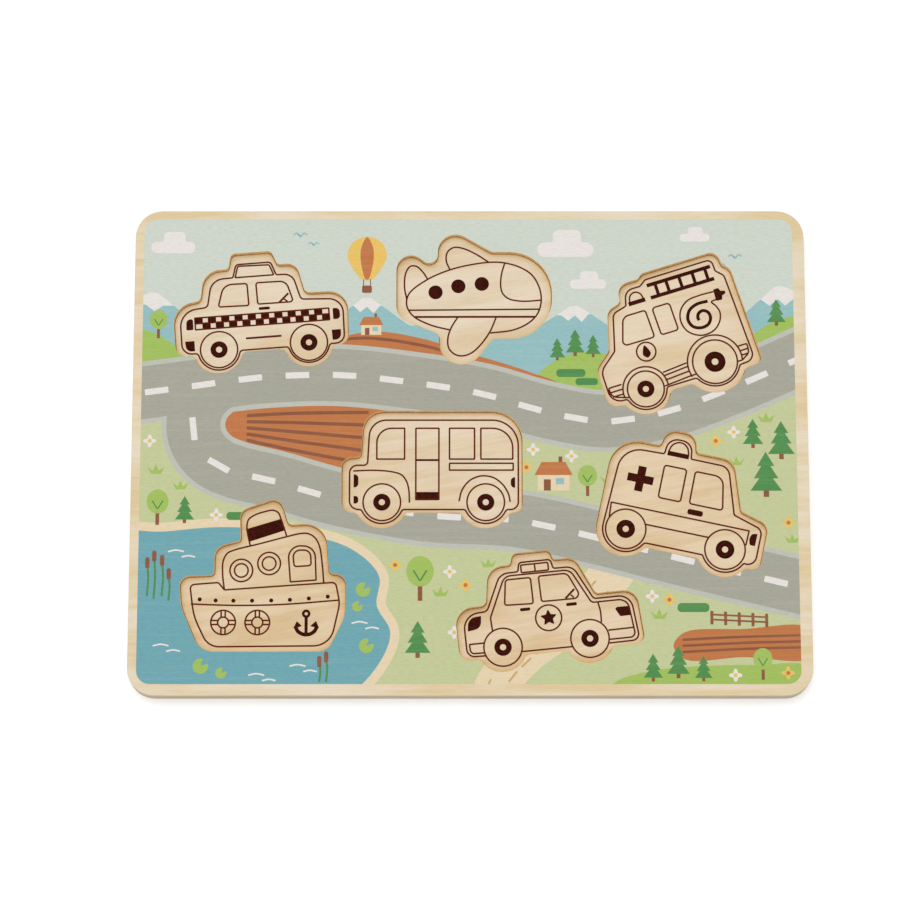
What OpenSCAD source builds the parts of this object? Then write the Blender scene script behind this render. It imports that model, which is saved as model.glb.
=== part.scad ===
/* [Board] */
// Width of the board, along the long side
board_w = 300; // [280:1:360]
// Depth of the board, along the short side
board_d = 220; // [206:1:280]
// Radius of the board's outer corners
corner_r = 12; // [3:0.5:20]
// Thickness of the frame board, which has the cut-outs
frame_t = 6; // [4:0.5:12]
// Thickness of the back board, which closes the cut-outs from below
back_t = 3; // [2:0.5:8]

/* [Vehicle pieces] */
// Thickness of the lift-out vehicle pieces
piece_t = 3; // [2:0.5:12]
// Gap all round between a piece and its cut-out
fit_gap = 0.4; // [0.2:0.05:0.8]

/* [Taxi] */
// Length of the taxi's cut-out
taxi_len = 78; // [60:0.5:86]
// Place across the board, in hundredths of the half width from the middle
taxi_x = -62.5; // [-66:0.5:-58]
// Place up the board, in hundredths of the half depth from the middle
taxi_y = 59.5; // [54:0.5:66]
// Turn of the taxi on the board, in degrees
taxi_turn = 4.5; // [-8:0.5:10]

/* [Aeroplane] */
// Length of the aeroplane's cut-out
aeroplane_len = 69.5; // [52:0.5:76]
// Place across the board, in hundredths of the half width from the middle
aeroplane_x = 0.5; // [-4:0.5:5]
// Place up the board, in hundredths of the half depth from the middle
aeroplane_y = 63.5; // [61:0.5:66]
// Turn of the aeroplane on the board, in degrees
aeroplane_turn = 0; // [-8:0.5:8]

/* [Fire engine] */
// Length of the fire engine's cut-out
fire_engine_len = 72; // [54:0.5:78]
// Place across the board, in hundredths of the half width from the middle
fire_engine_x = 62.5; // [58:0.5:66]
// Place up the board, in hundredths of the half depth from the middle
fire_engine_y = 43.5; // [42:0.5:48]
// Turn of the fire engine on the board, in degrees
fire_engine_turn = 17.5; // [5:0.5:22]

/* [Bus] */
// Length of the bus's cut-out
bus_len = 80; // [60:0.5:86]
// Place across the board, in hundredths of the half width from the middle
bus_x = -10.5; // [-14:0.5:-6]
// Place up the board, in hundredths of the half depth from the middle
bus_y = -9; // [-12:0.5:-4]
// Turn of the bus on the board, in degrees
bus_turn = 0; // [-5:0.5:5]

/* [Ambulance] */
// Length of the ambulance's cut-out
ambulance_len = 74.5; // [56:0.5:80]
// Place across the board, in hundredths of the half width from the middle
ambulance_x = 63; // [59:0.5:66]
// Place up the board, in hundredths of the half depth from the middle
ambulance_y = -22; // [-30:0.5:-20]
// Turn of the ambulance on the board, in degrees
ambulance_turn = -12; // [-18:0.5:0]

/* [Boat] */
// Length of the boat's cut-out
boat_len = 73; // [54:0.5:80]
// Place across the board, in hundredths of the half width from the middle
boat_x = -62; // [-68:0.5:-58]
// Place up the board, in hundredths of the half depth from the middle
boat_y = -50; // [-58:0.5:-46]
// Turn of the boat on the board, in degrees
boat_turn = 0; // [-6:0.5:6]

/* [Police car] */
// Length of the police car's cut-out
police_car_len = 81.5; // [60:0.5:86]
// Place across the board, in hundredths of the half width from the middle
police_car_x = 24; // [21:0.5:27]
// Place up the board, in hundredths of the half depth from the middle
police_car_y = -67; // [-72:0.5:-65]
// Turn of the police car on the board, in degrees
police_car_turn = 6; // [-2:0.5:8]

/* [Hidden] */

// Largest turn of one straight step along a rounded corner, in degrees
arc_step = 9;

bare_wood = [0.89, 0.82, 0.69];
printed_wood = [0.77, 0.80, 0.72];

// Vehicle shapes, anticlockwise from the lower left, before they are brought to their length.
// A corner is [x, y, radius]. A wheel round under the body is [x, y, radius, fillet], and a fifth
// number, 1, runs the body's side straight down into the round. The sill is the body's underside.
taxi_sill = -20;
taxi_shape = [
    [-39, taxi_sill, 5],
    [-20, -18, 11, 2.5],
    [20.5, -18, 11, 2.5],
    [38.5, taxi_sill, 5],
    [39.5, 4.5, 8.5],
    [20.5, 5, 3],
    [17.5, 19, 5.5],
    [9, 19, 2],
    [6.5, 25.5, 2.5],
    [-11.5, 25.5, 2.5],
    [-13, 18.5, 2],
    [-24, 18.5, 8.5],
    [-26.5, 4.5, 3],
    [-39, 4, 10],
];

aeroplane_shape = [
    [-14.5, -17, 2],
    [-14, -50, 10],
    [9.5, -19, 2.5],
    [36, -19, 18.5],
    [36, 21, 19],
    [9, 21, 4],
    [-15, 35, 8],
    [-15, 11.5, 4],
    [-33.5, 26.5, 6.5],
    [-33.5, -9, 8],
];

fire_engine_sill = -18.5;
fire_engine_shape = [
    [-39, fire_engine_sill, 5.5],
    [-21, -14.5, 11.5, 2.5],
    [12.5, -12, 14, 2.5],
    [33, fire_engine_sill, 3.5],
    [32.5, 27, 5],
    [29.5, 29.5, 2],
    [29, 36.5, 4.5],
    [-6, 36.5, 3.5],
    [-8.5, 34.5, 2.5],
    [-18, 34.5, 5.5],
    [-19.5, 26.5, 2],
    [-26, 24.5, 5],
    [-31, 7, 2.5],
    [-39, 0.5, 6],
];

bus_sill = -18.5;
bus_shape = [
    [-41, bus_sill, 5],
    [-23.5, -13.5, 12, 2.5],
    [22.5, -13.5, 12, 2.5],
    [39, bus_sill, 4],
    [39, 27.5, 13.5],
    [-31, 27.5, 9],
    [-32.5, 6.5, 2.5],
    [-41, 6.5, 4.5],
];

ambulance_sill = -23;
ambulance_shape = [
    [-23.5, -16.5, 12.5, 3, 1],
    [21.5, -16.5, 12.5, 2],
    [38.5, ambulance_sill, 4.5],
    [38.5, -2, 5],
    [25.5, 1.5, 2.5],
    [18, 23.5, 7],
    [1, 23.5, 2],
    [-0.5, 31.5, 6],
    [-13.5, 31.5, 6],
    [-15, 23.5, 2],
    [-36, 23.5, 13],
];

boat_shape = [
    [-25.5, -35.5, 9.5],
    [30.5, -35.5, 7],
    [38.5, -19, 18],
    [38.5, -1, 5],
    [31, -1, 2.5],
    [29.5, 22, 10],
    [13, 21, 2.5],
    [9, 33.5, 4.5],
    [-8.5, 27.5, 5],
    [-8, 14, 1.5],
    [-19.5, 11, 6],
    [-19.5, -1.5, 2],
    [-35, -2, 4.5],
    [-34, -15.5, 22],
];

police_car_sill = -17;
police_car_shape = [
    [-42.5, police_car_sill, 5],
    [-23.5, -12.5, 11, 2.5],
    [15, -12.5, 11, 2.5],
    [39.5, police_car_sill, 4],
    [38, 7, 6.5],
    [20, 7, 2.5],
    [12.5, 24, 6],
    [3, 24, 1.5],
    [2, 28.5, 2.5],
    [-14.5, 28.5, 2.5],
    [-16, 23.5, 2],
    [-26, 23.5, 7.5],
    [-28.5, 6.5, 3],
    [-42.5, 6.5, 8],
];

// One vehicle: its shape, its sill, its length, its place on the board and its turn
function vehicle(shape, sill, length, x, y, turn) =
    [shape, sill, length, [x / 100 * board_w / 2, y / 100 * board_d / 2], turn];

taxi_v = vehicle(taxi_shape, taxi_sill, taxi_len, taxi_x, taxi_y, taxi_turn);
aeroplane_v = vehicle(aeroplane_shape, 0, aeroplane_len, aeroplane_x, aeroplane_y, aeroplane_turn);
fire_engine_v = vehicle(fire_engine_shape, fire_engine_sill, fire_engine_len,
                        fire_engine_x, fire_engine_y, fire_engine_turn);
bus_v = vehicle(bus_shape, bus_sill, bus_len, bus_x, bus_y, bus_turn);
ambulance_v = vehicle(ambulance_shape, ambulance_sill, ambulance_len,
                      ambulance_x, ambulance_y, ambulance_turn);
boat_v = vehicle(boat_shape, 0, boat_len, boat_x, boat_y, boat_turn);
police_car_v = vehicle(police_car_shape, police_car_sill, police_car_len,
                       police_car_x, police_car_y, police_car_turn);
vehicles = [taxi_v, aeroplane_v, fire_engine_v, bus_v, ambulance_v, boat_v, police_car_v];

function unit(v) = v / norm(v);
function cross_z(a, b) = a.x * b.y - a.y * b.x;
function heading(v) = atan2(v.y, v.x);

// Points along an arc about c, from angle a through sweep
function arc(c, r, a, sweep) =
    let (n = max(2, ceil(abs(sweep) / arc_step)))
    [for (i = [0 : n]) c + r * [cos(a + sweep * i / n), sin(a + sweep * i / n)]];

// The rounded corner at p between its neighbours a and b, moved outwards by grow
function corner_arc(a, p, b, r, grow) =
    let (u = unit(a - p), v = unit(b - p), half = acos(u * v) / 2)
    let (side = cross_z(-u, v) > 0 ? 1 : -1)
    let (c = p + unit(u + v) * r / sin(half), start = p + u * r / tan(half))
    arc(c, r + side * grow, heading(start - c), side * (180 - 2 * half));

// A wheel round below the sill with a fillet on each side, moved outwards by grow
function wheel_arc(wheel, sill, grow) =
    let (c = [wheel.x, wheel.y], r = wheel[2], fillet = wheel[3], to_side = len(wheel) > 4)
    let (drop = c.y - sill + fillet, reach = sqrt(pow(r + fillet, 2) - pow(drop, 2)))
    let (dip = asin(drop / (r + fillet)), start = to_side ? 180 : 180 + dip)
    concat(
        to_side ? [] : arc([c.x - reach, sill - fillet], fillet - grow, 90, dip - 90),
        arc(c, r + grow, start, 360 - dip - start),
        arc([c.x + reach, sill - fillet], fillet - grow, 180 - dip, dip - 90)
    );

// Where the outline's straight runs to and from an entry meet it
function run_end(entry, sill) =
    len(entry) == 3 ? [entry.x, entry.y]
    : len(entry) == 4 ? [entry.x, sill]
    : [entry.x - entry[2], entry.y];

// Points of a whole outline
function trace(shape, sill, grow) =
    let (n = len(shape))
    [for (i = [0 : n - 1])
        let (entry = shape[i], before = shape[(i + n - 1) % n], after = shape[(i + 1) % n])
        each len(entry) > 3 ? wheel_arc(entry, sill, grow)
        : corner_arc(len(before) > 3 ? [before.x, sill] : [before.x, before.y],
                     [entry.x, entry.y], run_end(after, sill), entry[2], grow)];

function span_x(points) =
    let (x = [for (p = points) p.x])
    max(x) - min(x);

// An outline's entries with every length brought to scale s
function resized(shape, s) =
    [for (entry = shape) [for (k = [0 : len(entry) - 1]) k < 4 ? entry[k] * s : entry[k]]];

// A vehicle's outline on the board, moved outwards by grow
module vehicle_outline(v, grow) {
    s = v[2] / span_x(trace(v[0], v[1], 0));
    translate(v[3])
        rotate(v[4])
            polygon(trace(resized(v[0], s), v[1] * s, grow));
}

module board_outline() {
    x = board_w / 2;
    y = board_d / 2;
    polygon(trace([[-x, -y, corner_r], [x, -y, corner_r], [x, y, corner_r], [-x, y, corner_r]], 0, 0));
}

module frame_board() {
    color(printed_wood)
        translate([0, 0, back_t])
            linear_extrude(frame_t)
                difference() {
                    board_outline();
                    for (v = vehicles) {
                        vehicle_outline(v, 0);
                    }
                }
}

module back_board() {
    color(bare_wood)
        linear_extrude(back_t)
            board_outline();
}

// A piece lies on the back board, a fit gap inside its cut-out all round
module vehicle_piece(v) {
    color(bare_wood)
        translate([0, 0, back_t])
            linear_extrude(piece_t)
                vehicle_outline(v, -fit_gap);
}

module taxi() { vehicle_piece(taxi_v); }
module aeroplane() { vehicle_piece(aeroplane_v); }
module fire_engine() { vehicle_piece(fire_engine_v); }
module bus() { vehicle_piece(bus_v); }
module ambulance() { vehicle_piece(ambulance_v); }
module boat() { vehicle_piece(boat_v); }
module police_car() { vehicle_piece(police_car_v); }

frame_board();
back_board();
taxi();
aeroplane();
fire_engine();
bus();
ambulance();
boat();
police_car();
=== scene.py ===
"""Finished look of a wooden inset puzzle: two boards, a printed landscape and seven lift-out vehicles."""

import math
from collections.abc import Callable
from contextlib import contextmanager
from typing import NamedTuple

import bpy
from bpy.props import FloatProperty, FloatVectorProperty, PointerProperty
from mathutils import Matrix, Vector


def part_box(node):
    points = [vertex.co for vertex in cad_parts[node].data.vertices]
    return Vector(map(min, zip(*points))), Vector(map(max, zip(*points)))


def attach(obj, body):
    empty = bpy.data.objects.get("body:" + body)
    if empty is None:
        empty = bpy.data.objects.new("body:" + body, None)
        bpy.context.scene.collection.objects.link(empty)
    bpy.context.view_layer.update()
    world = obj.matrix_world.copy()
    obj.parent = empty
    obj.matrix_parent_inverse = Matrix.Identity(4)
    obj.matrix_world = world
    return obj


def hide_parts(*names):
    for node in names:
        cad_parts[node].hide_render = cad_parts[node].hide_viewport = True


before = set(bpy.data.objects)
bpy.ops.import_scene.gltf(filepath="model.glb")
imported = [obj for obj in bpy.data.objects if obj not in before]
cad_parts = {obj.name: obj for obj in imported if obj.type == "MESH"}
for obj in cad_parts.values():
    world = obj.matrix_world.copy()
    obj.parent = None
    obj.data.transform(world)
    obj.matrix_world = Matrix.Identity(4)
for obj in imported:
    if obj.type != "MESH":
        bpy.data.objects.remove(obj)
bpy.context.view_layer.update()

bl_info = {
    "name": "Vehicle inset puzzle",
    "version": (1, 0, 0),
    "blender": (4, 5, 0),
    "location": "View3D > Sidebar > Puzzle",
    "description": "Models the boards, print, pieces and drawings of a wooden inset puzzle",
    "category": "Object",
}

# Sizes from the frame. Drawings and outlines are written in millimetres, meshes are in metres.
MM = 0.001
BOARD_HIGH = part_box("frame_board")[1]
FACE_Z = BOARD_HIGH.z
RECESS_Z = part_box("back_board")[1].z
PIECE_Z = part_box("taxi")[1].z
# Points and heights that are closer than this, in metres, count as one
TINY = 1e-6


# Properties

def length(name, description, mm):
    return FloatProperty(name=name, description=description, default=mm * MM,
                         unit="LENGTH", precision=5)


def paint(name, description, red, green, blue):
    return FloatVectorProperty(name=name, description=description, size=3, min=0.0, max=1.0,
                               subtype="COLOR_GAMMA", default=(red / 255, green / 255, blue / 255))


class PuzzleSizes(bpy.types.PropertyGroup):
    """Sizes of the finish on the wood."""

    edge_round: length("Edge round", "Radius on the edges of the wood", 0.12)
    swell: length("Piece swell", "How far a piece's cut edge stands out beyond its nominal size", 0.22)
    # The next two widths set the bands of a piece's rim tint, which is laser browning together with painted
    # shade from the recess walls
    burn_shade_near: length("Strong heat", "Width of the strongly browned rim of a cut face", 0.6)
    burn_shade_far: length("Faint heat", "Width of the faintly browned rim inside that", 1.5)
    print_room: length("Print room", "How far the bare face lies below the finished face", 0.1)
    print_t: length("Print thickness", "Thickness of a printed area", 0.03)
    motif_step: length("Motif step", "Rise from one printed motif to the one on top of it", 0.02)
    print_w: length("Print width", "Width of the printed area", 290.8)
    print_d: length("Print depth", "Depth of the printed area", 211.0)
    print_x: length("Print shift across", "The print's middle to the right of the board's", -0.65)
    print_y: length("Print shift up", "The print's middle above the board's", 0.6)
    print_r: length("Print corner", "Corner radius of the printed area", 6.0)
    line_w: length("Line width", "Width of a drawn line", 0.72)
    line_t: length("Line thickness", "Thickness of a drawn line", 0.03)
    road_w: length("Road width", "Width of a road between its kerbs", 24.0)
    kerb_w: length("Kerb width", "Width of a kerb", 2.2)
    lane_w: length("Lane width", "Width of the sandy lane", 19.0)
    shore_w: length("Shore width", "Width of the sand round the lake", 4.0)


class PuzzleColours(bpy.types.PropertyGroup):
    """Colours of the wood, the print and the drawn lines."""

    wood: paint("Bare wood", "Face of the frame board", 230, 216, 192)
    wood_dark: paint("Wood grain", "Yellower grain in the frame board", 221, 199, 156)
    piece: paint("Piece wood", "Face of a pale vehicle piece", 230, 214, 190)
    piece_dark: paint("Piece grain", "Yellower grain in a pale vehicle piece", 221, 200, 166)
    peach: paint("Peach wood", "Face of a warm vehicle piece", 228, 207, 175)
    peach_dark: paint("Peach grain", "Yellower grain in a warm vehicle piece", 217, 190, 148)
    # Rim tint of a piece's face: laser browning together with painted shade near the recess walls
    rim_burn_and_shade: paint("Browned rim", "Tint of a cut face's rim, browned by the laser", 255, 251, 216)
    cut_dark: paint("Dark cut", "Darkest streaks of a cut edge", 217, 169, 108)
    cut_pale: paint("Pale cut", "Palest streaks of a cut edge", 234, 192, 135)
    edge: paint("Outer edge", "Sanded outer edge of the boards", 208, 195, 172)
    ply_dark: paint("Cross ply", "Cross-grain layer in the outer edge", 174, 155, 128)
    ink: paint("Drawing ink", "Dark brown of the filled shapes", 54, 14, 8)
    line: paint("Line ink", "Redder brown of the drawn lines", 94, 32, 12)
    ochre: paint("Ochre", "Wheel ruts of the lane", 206, 168, 112)
    sky: paint("Sky", "Pale sky", 205, 213, 202)
    mountain: paint("Mountains", "Distant mountains", 146, 189, 193)
    white: paint("White", "Clouds, snow and road dashes", 231, 226, 222)
    terracotta: paint("Terracotta", "Ploughed earth and roofs", 192, 117, 67)
    brown: paint("Brown", "Furrows, trunks and doors", 140, 84, 58)
    meadow: paint("Meadow", "Pale grass", 195, 202, 152)
    leaf: paint("Leaf green", "Hills and round trees", 160, 190, 92)
    fir: paint("Fir green", "Fir trees, hedges and reeds", 78, 140, 76)
    road: paint("Road", "Grey road", 165, 165, 152)
    kerb: paint("Kerb", "Pale kerb", 189, 191, 181)
    lake: paint("Lake", "Blue water", 108, 166, 177)
    sand: paint("Sand", "Sandy lane, shore and walls", 230, 211, 176)
    yellow: paint("Yellow", "Balloon and blossoms", 233, 193, 98)


class PuzzleStage(bpy.types.PropertyGroup):
    """Camera and light."""

    lens: FloatProperty(name="Lens", description="Focal length", default=140.0, unit="CAMERA")
    tilt: FloatProperty(name="Tilt", description="Camera's lean from straight down",
                        default=math.radians(12.62), subtype="ANGLE")
    distance: length("Distance", "Camera to the point it looks at", 1551.0)
    aim_x: length("Aim across", "Point looked at, to the right of the board's middle", -8.83)
    aim_y: length("Aim up", "Point looked at, above the board's middle", -0.18)
    key_power: FloatProperty(name="Key light", description="Power of the soft light from the far side",
                             default=84.0, unit="POWER")
    sky_strength: FloatProperty(name="Room light", description="Strength of the even light all round",
                                default=0.75, subtype="FACTOR")


def sizes():
    return bpy.context.scene.puzzle_sizes


def colours():
    return bpy.context.scene.puzzle_colours


# Flat outlines, lists of points in millimetres

# Degrees from one point of an arc to the next, and steps from one point of a smooth line to the next
ARC_STEP = 9.0
CURVE_STEPS = 7


def polar(middle, radius, angle):
    """The point of a circle at an angle in degrees."""
    turn = math.radians(angle)
    return Vector((middle[0] + radius * math.cos(turn), middle[1] + radius * math.sin(turn)))


def arc(middle, radius, start, sweep):
    """Points along an arc, with its angles in degrees."""
    steps = max(2, math.ceil(abs(sweep) / ARC_STEP))
    return [polar(middle, radius, start + sweep * i / steps) for i in range(steps + 1)]


def circle(middle, radius):
    return arc(middle, radius, 0, 360)[:-1]


def corner_arc(before, corner, after, radius):
    """The rounded corner between two neighbouring points."""
    u = (before - corner).normalized()
    v = (after - corner).normalized()
    half = u.angle(v) / 2
    side = 1 if u.cross(v) < 0 else -1
    middle = corner + (u + v).normalized() * radius / math.sin(half)
    first = corner + u * radius / math.tan(half) - middle
    start = math.degrees(math.atan2(first.y, first.x))
    return arc(middle, radius, start, side * (180 - 2 * math.degrees(half)))


def rounded(corners, closed=True):
    """A line through corners (x, y) or (x, y, radius)."""
    points = [Vector(corner[:2]) for corner in corners]
    line = []
    for i, corner in enumerate(corners):
        is_end = not closed and i in (0, len(corners) - 1)
        if is_end or len(corner) < 3:
            line.append(points[i])
        else:
            line += corner_arc(points[i - 1], points[i], points[(i + 1) % len(points)], corner[2])
    return line


def wheel_arc(wheel, sill):
    """A wheel round (x, y, radius, fillet) below a sill, or with a fifth value, below a straight side."""
    x, y, radius, fillet = wheel[:4]
    drop = y - sill + fillet
    reach = math.sqrt((radius + fillet) ** 2 - drop ** 2)
    dip = math.degrees(math.asin(drop / (radius + fillet)))
    start = 180 if len(wheel) > 4 else 180 + dip
    lead = [] if len(wheel) > 4 else arc((x - reach, sill - fillet), fillet, 90, dip - 90)
    tail = arc((x + reach, sill - fillet), fillet, 180 - dip, dip - 90)
    return lead + arc((x, y), radius, start, 360 - dip - start) + tail


def car_body(entries, sill):
    """A closed body line, anticlockwise from the lower left, of corners and wheel rounds."""
    def reached_from(entry):
        return Vector(entry[:2]) if len(entry) == 3 else Vector((entry[0], sill))

    def runs_to(entry):
        return Vector((entry[0] - entry[2], entry[1])) if len(entry) == 5 else reached_from(entry)

    line = []
    for i, entry in enumerate(entries):
        if len(entry) > 3:
            line += wheel_arc(entry, sill)
        else:
            after = entries[(i + 1) % len(entries)]
            line += corner_arc(reached_from(entries[i - 1]), Vector(entry[:2]), runs_to(after), entry[2])
    return line


def curve_step(p0, p1, p2, p3, share):
    """A point between p1 and p2 on a centripetal curve through four points."""
    t0 = 0.0
    t1 = t0 + math.sqrt((p1 - p0).length)
    t2 = t1 + math.sqrt((p2 - p1).length)
    t3 = t2 + math.sqrt((p3 - p2).length)
    t = t1 + share * (t2 - t1)
    a1 = p0.lerp(p1, (t - t0) / (t1 - t0))
    a2 = p1.lerp(p2, (t - t1) / (t2 - t1))
    a3 = p2.lerp(p3, (t - t2) / (t3 - t2))
    b1 = a1.lerp(a2, (t - t0) / (t2 - t0))
    b2 = a2.lerp(a3, (t - t1) / (t3 - t1))
    return b1.lerp(b2, (t - t1) / (t2 - t1))


def smooth(points, closed=False):
    """A smooth line through points."""
    points = [Vector(p) for p in points]
    n = len(points)
    if closed:
        padded = [points[-1]] + points + points[:2]
    else:
        padded = [2 * points[0] - points[1]] + points + [2 * points[-1] - points[-2]]
    line = []
    for i in range(n if closed else n - 1):
        line += [curve_step(*padded[i:i + 4], k / CURVE_STEPS) for k in range(CURVE_STEPS)]
    return line if closed else line + [points[-1]]


def beside(line, distance, closed=False):
    """A line moved sideways, to the left of its own direction."""
    moved = []
    for i, point in enumerate(line):
        before = line[i - 1] if closed else line[max(i - 1, 0)]
        after = line[(i + 1) % len(line)] if closed else line[min(i + 1, len(line) - 1)]
        along = (after - before).normalized()
        moved.append(point + distance * Vector((-along.y, along.x)))
    return moved


def band(points, width):
    """The closed outline of a band along a smooth line."""
    line = smooth(points)
    return beside(line, width / 2) + beside(line, -width / 2)[::-1]


def stations(points, first, gap):
    """Places and headings in degrees along a smooth line, a gap apart."""
    line = smooth(points)
    due, walked, found = first, 0.0, []
    for a, b in zip(line, line[1:]):
        step = (b - a).length
        while due <= walked + step:
            heading = math.degrees(math.atan2(b.y - a.y, b.x - a.x))
            found.append((a.lerp(b, (due - walked) / step), heading))
            due += gap
        walked += step
    return found


def box(width, height, radius=0.0):
    """A rectangle about the middle, rounded if it has a radius."""
    x, y = width / 2, height / 2
    corners = [(-x, -y), (x, -y), (x, y), (-x, y)]
    return rounded([(*corner, radius) for corner in corners] if radius else corners)


def both_sides(right):
    """An outline from its right half, which starts on the middle line."""
    return right + [(-x, y) for x, y in right[:0:-1]]


def placed(points, x, y, turn=0.0, size=1.0):
    """Points turned, resized and moved."""
    spin = Matrix.Rotation(math.radians(turn), 2)
    return [size * (spin @ Vector(p[:2])) + Vector((x, y)) for p in points]


# Modelling

# How much of the rim tint, laser browning and painted shade together, is left where its strong band ends
RIM_SHARE = 0.35
# A face counts as flat where the upright part of its normal is more than this, out of 1
FLAT = 0.95
# Neighbouring faces that turn by less than this are made one
MERGE_TURN = math.radians(0.5)
# Neighbouring faces that turn by less than this are shaded as one
SMOOTH_TURN = math.radians(30)


def select_only(*objects):
    bpy.ops.object.select_all(action="DESELECT")
    for obj in objects:
        obj.select_set(True)
    bpy.context.view_layer.objects.active = objects[0]


@contextmanager
def editing(obj, everything=True):
    """Edit mode on one object, with all of it selected or only what is selected already."""
    select_only(obj)
    bpy.ops.object.mode_set(mode="EDIT")
    if everything:
        bpy.ops.mesh.select_all(action="SELECT")
    yield
    bpy.ops.object.mode_set(mode="OBJECT")


def select_parts(mesh, kind, chosen):
    """Selects only the chosen edges or faces of a mesh, for the next edit."""
    bpy.context.tool_settings.mesh_select_mode = (False, kind == "EDGE", kind == "FACE")
    for parts in (mesh.vertices, mesh.edges, mesh.polygons):
        parts.foreach_set("select", [False] * len(parts))
    for part in chosen:
        part.select = True


def is_flat(face):
    return abs(face.normal.z) > FLAT


def top_height(mesh):
    return max(vertex.co.z for vertex in mesh.vertices)


def top_faces(mesh):
    """The faces at a mesh's greatest height."""
    below_top = top_height(mesh) - TINY
    return [face for face in mesh.polygons if face.center.z > below_top]


def thicken(height):
    """In edit mode, raises the selected flat faces into a closed plate."""
    bpy.ops.mesh.extrude_region_move(TRANSFORM_OT_translate={"value": (0, 0, height)})
    bpy.ops.mesh.select_all(action="SELECT")
    bpy.ops.mesh.normals_make_consistent(inside=False)


def plate(outline, low, high):
    """A closed flat plate: a filled circle, its points pulled to an outline, then extruded."""
    bpy.ops.object.select_all(action="DESELECT")
    bpy.ops.mesh.primitive_circle_add(vertices=len(outline), fill_type="NGON")
    obj = bpy.context.object
    for vertex, point in zip(obj.data.vertices, outline):
        vertex.co = (point[0] * MM, point[1] * MM, low)
    with editing(obj):
        thicken(high - low)
    return obj


def flat_curve(points, closed):
    """A straight-sided curve in the plane."""
    bpy.ops.object.select_all(action="DESELECT")
    bpy.ops.curve.primitive_bezier_curve_add()
    obj = bpy.context.object
    obj.data.splines.clear()
    obj.data.dimensions = "2D"
    obj.data.fill_mode = "NONE"
    spline = obj.data.splines.new("POLY")
    spline.points.add(len(points) - 1)
    for spot, point in zip(spline.points, points):
        spot.co = (point[0] * MM, point[1] * MM, 0, 1)
    spline.use_cyclic_u = closed
    return obj


def pen_stroke(points, closed, width, low, high):
    """A line drawn with a flat square nib, as a closed mesh."""
    x, z = width / MM / 2, (high - low) / MM
    nib = flat_curve([(-x, 0), (x, 0), (x, z), (-x, z)], True)
    obj = flat_curve(points, closed)
    obj.data.bevel_mode = "OBJECT"
    obj.data.bevel_object = nib
    obj.data.use_fill_caps = True
    select_only(obj)
    bpy.ops.object.convert(target="MESH")
    obj = bpy.context.object
    bpy.data.objects.remove(nib)
    with editing(obj):
        bpy.ops.mesh.remove_doubles(threshold=TINY)
        bpy.ops.mesh.normals_make_consistent(inside=False)
        bpy.ops.transform.translate(value=(0, 0, low))
    return obj


def copy_of(obj):
    twin = bpy.data.objects.new(obj.name, obj.data.copy())
    bpy.context.scene.collection.objects.link(twin)
    return twin


def joined(objects):
    select_only(*objects)
    if len(objects) > 1:
        bpy.ops.object.join()
    return objects[0]


def cut(obj, tool, operation):
    """Applies an exact boolean with a tool."""
    modifier = obj.modifiers.new("cut", "BOOLEAN")
    modifier.object = tool
    modifier.operation = operation
    modifier.solver = "EXACT"
    select_only(obj)
    bpy.ops.object.modifier_apply(modifier=modifier.name)
    if not obj.data.polygons:
        raise RuntimeError(f"nothing is left of {obj.name} after a cut")


def settle(obj, name, body, slot, *nodes):
    """Names a finished piece at the origin, hangs it on the empty of the body that carries it, and hides the
    solids it stands in for.
    """
    select_only(obj)
    bpy.ops.object.transform_apply(location=True, rotation=True, scale=True)
    obj.name = name
    obj.data.name = name
    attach(obj, body)
    if nodes:
        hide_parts(*nodes)


def cad_copy(node):
    """A merged copy of a solid's mesh, with flat faces made whole."""
    obj = copy_of(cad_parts[node])
    obj.data.materials.clear()
    with editing(obj):
        bpy.ops.mesh.remove_doubles(threshold=TINY)
        bpy.ops.mesh.dissolve_limited(angle_limit=MERGE_TURN)
    return obj


def lower_top(obj, depth):
    """Moves the flat top of a piece down."""
    select_parts(obj.data, "FACE", top_faces(obj.data))
    with editing(obj, everything=False):
        bpy.ops.transform.translate(value=(0, 0, -depth))


def round_rims(obj, radius):
    """Rounds the edges between flat faces and upright walls."""
    sides = {}
    for face in obj.data.polygons:
        for key in face.edge_keys:
            sides.setdefault(key, set()).add(is_flat(face))
    select_parts(obj.data, "EDGE", [edge for edge in obj.data.edges if len(sides[edge.key]) == 2])
    with editing(obj, everything=False):
        bpy.ops.mesh.bevel(offset=radius, segments=2, affect="EDGES", clamp_overlap=False)
    select_only(obj)
    bpy.ops.object.shade_smooth_by_angle(angle=SMOOTH_TURN)
    for face in obj.data.polygons:
        face.use_smooth = not is_flat(face)


def swell_walls(obj, distance):
    """Moves a piece's upright walls outward."""
    select_parts(obj.data, "FACE", [face for face in obj.data.polygons if not is_flat(face)])
    with editing(obj, everything=False):
        bpy.ops.transform.shrink_fatten(value=distance)


def rounded_place(vertex):
    """A vertex's place to a tenth of a micrometre, by which it is known after an edit."""
    return vertex.co.to_tuple(7)


def burn_shade_rim(obj):
    """Insets the top face twice and marks how much laser browning and painted shade its points get, from 1
    at the rim to 0 inside.
    """
    mesh = obj.data
    select_parts(mesh, "FACE", top_faces(mesh))
    burn_shade = {}
    for width, share in ((sizes().burn_shade_near, RIM_SHARE), (sizes().burn_shade_far, 0.0)):
        with editing(obj, everything=False):
            bpy.ops.mesh.inset(thickness=width, use_even_offset=True)
        inner = {index for face in mesh.polygons if face.select for index in face.vertices}
        burn_shade.update({rounded_place(mesh.vertices[index]): share for index in inner})
    values = [burn_shade.get(rounded_place(vertex), 1.0) for vertex in mesh.vertices]
    mesh.attributes.new("burn_shade", "FLOAT", "POINT").data.foreach_set("value", values)


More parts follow.
